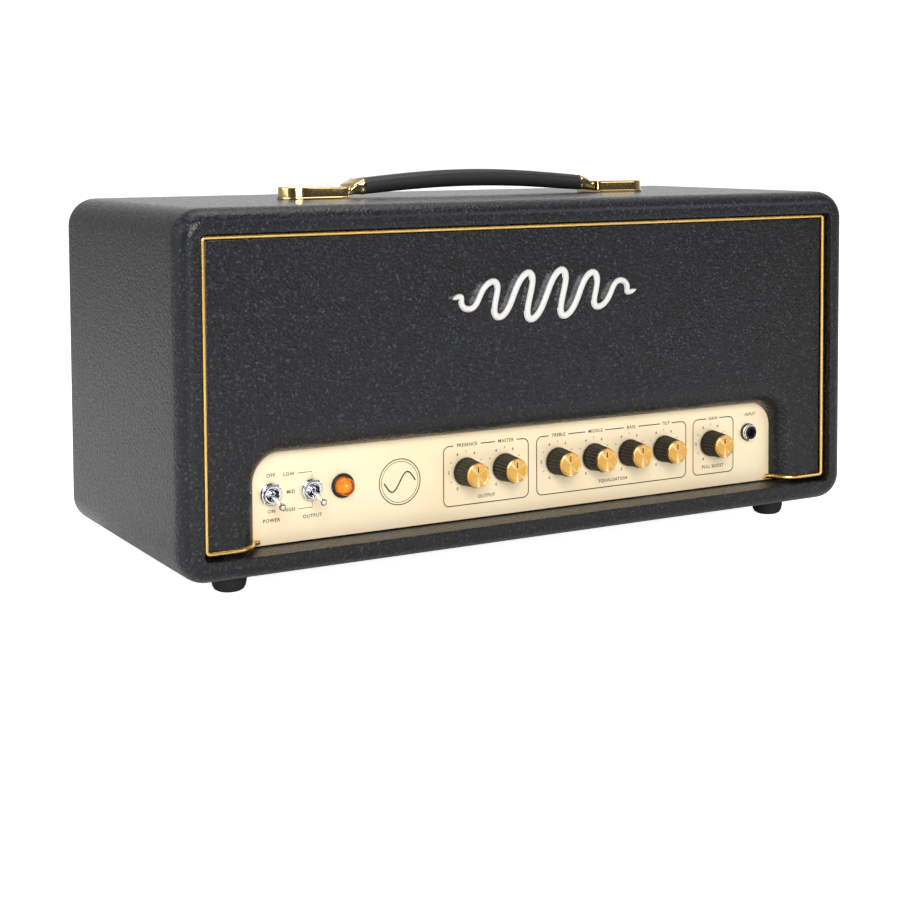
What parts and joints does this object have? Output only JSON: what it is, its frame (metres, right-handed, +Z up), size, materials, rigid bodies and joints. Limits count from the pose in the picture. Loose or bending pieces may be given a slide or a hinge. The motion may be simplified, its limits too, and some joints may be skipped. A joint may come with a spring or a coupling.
{
  "type": "guitar amp head",
  "caption": "Valve guitar amplifier head: black vinyl cabinet with gold piping, recessed gold control panel with knobs, toggles, pilot lamp and input jack, strap handle and rubber feet.",
  "frame": {"origin": "on the floor, under the centre of the cabinet", "axes": "+X to the right seen from the front, the control panel faces -Y, +Z up"},
  "size_m": [0.52, 0.224, 0.2596],
  "materials": {
    "vinyl_board": "black pebble-grained vinyl",
    "timber": "bare softwood",
    "gold_trim": "gold metallic piping",
    "gold_metal": "polished gold plate",
    "badge_plastic": "off-white moulding",
    "gold_panel": "gold anodised, satin, with dark brown print",
    "chrome": "polished",
    "amber_lens": "clear amber",
    "black_plastic": "satin",
    "knob_plastic": "black fluted skirt with a spun gold metal cap",
    "steel": "plated",
    "black_steel": "black paint",
    "aluminium": "can",
    "circuit_board": "green solder resist",
    "valve_glass": "clear",
    "rubber": "black"
  },
  "bodies": {
    "head": {"cabinet_top": "vinyl_board", "cabinet_bottom": "vinyl_board", "cabinet_left": "vinyl_board", "cabinet_right": "vinyl_board", "front_baffle": "vinyl_board", "rear_panel": "vinyl_board", "baffle_batten_left": "timber", "baffle_batten_right": "timber", "front_piping": "gold_trim", "handle_bracket_left": "gold_metal", "handle_bracket_right": "gold_metal", "badge": "badge_plastic", "control_panel": "gold_panel", "power_switch": "chrome", "power_switch_nut": "chrome", "output_switch": "chrome", "output_switch_nut": "chrome", "input_jack_nut": "chrome", "lamp_lens": "amber_lens", "lamp_bezel": "black_plastic", "input_jack": "black_plastic", "speaker_jack": "black_plastic", "mains_inlet": "black_plastic", "presence_pot": "steel", "master_pot": "steel", "treble_pot": "steel", "middle_pot": "steel", "bass_pot": "steel", "tilt_pot": "steel", "gain_pot": "steel", "chassis_deck": "steel", "chassis_front": "black_steel", "chassis_rear": "black_steel", "vent_grille": "black_steel", "mains_transformer": "black_steel", "output_transformer": "black_steel", "filter_capacitor": "aluminium", "main_board": "circuit_board", "power_valve_1": "valve_glass", "power_valve_2": "valve_glass", "preamp_valve_1": "valve_glass", "preamp_valve_2": "valve_glass", "preamp_valve_3": "valve_glass", "foot_front_left": "rubber", "foot_front_right": "rubber", "foot_rear_left": "rubber", "foot_rear_right": "rubber"},
    "handle": {"handle_strap": "rubber", "handle_ferrule_left": "gold_metal", "handle_ferrule_right": "gold_metal"},
    "power_lever": {"power_lever": "chrome"},
    "output_lever": {"output_lever": "chrome"},
    "gain_pull": {"gain_plunger": "steel"},
    "presence_knob": {"presence_knob": "knob_plastic"},
    "master_knob": {"master_knob": "knob_plastic"},
    "treble_knob": {"treble_knob": "knob_plastic"},
    "middle_knob": {"middle_knob": "knob_plastic"},
    "bass_knob": {"bass_knob": "knob_plastic"},
    "tilt_knob": {"tilt_knob": "knob_plastic"},
    "gain_knob": {"gain_knob": "knob_plastic"}
  },
  "joints": [
    {"name": "handle_lift", "type": "slide", "parent": "head", "child": "handle", "axis": [0, 0, 1], "range_m": [0, 0.0022]},
    {"name": "power_toggle", "type": "hinge", "parent": "head", "child": "power_lever", "pos_m": [-0.1932, -0.09, 0.0606], "axis": [-1, 0, 0], "range_deg": [0, 30]},
    {"name": "output_toggle", "type": "hinge", "parent": "head", "child": "output_lever", "pos_m": [-0.1653, -0.09, 0.0606], "axis": [-1, 0, 0], "range_deg": [0, 30]},
    {"name": "presence_turn", "type": "hinge", "parent": "head", "child": "presence_knob", "pos_m": [-0.0525, -0.0892, 0.0606], "axis": [0, 1, 0], "range_deg": [-150, 150]},
    {"name": "master_turn", "type": "hinge", "parent": "head", "child": "master_knob", "pos_m": [-0.0225, -0.0892, 0.0606], "axis": [0, 1, 0], "range_deg": [-150, 150]},
    {"name": "treble_turn", "type": "hinge", "parent": "head", "child": "treble_knob", "pos_m": [0.02, -0.0892, 0.0606], "axis": [0, 1, 0], "range_deg": [-150, 150]},
    {"name": "middle_turn", "type": "hinge", "parent": "head", "child": "middle_knob", "pos_m": [0.05, -0.0892, 0.0606], "axis": [0, 1, 0], "range_deg": [-150, 150]},
    {"name": "bass_turn", "type": "hinge", "parent": "head", "child": "bass_knob", "pos_m": [0.08, -0.0892, 0.0606], "axis": [0, 1, 0], "range_deg": [-150, 150]},
    {"name": "tilt_turn", "type": "hinge", "parent": "head", "child": "tilt_knob", "pos_m": [0.11, -0.0892, 0.0606], "axis": [0, 1, 0], "range_deg": [-150, 150]},
    {"name": "gain_push_pull", "type": "slide", "parent": "head", "child": "gain_pull", "axis": [0, -1, 0], "range_m": [0, 0.006]},
    {"name": "gain_turn", "type": "hinge", "parent": "gain_pull", "child": "gain_knob", "pos_m": [0.152, -0.0892, 0.0606], "axis": [0, 1, 0], "range_deg": [-150, 150]}
  ]
}
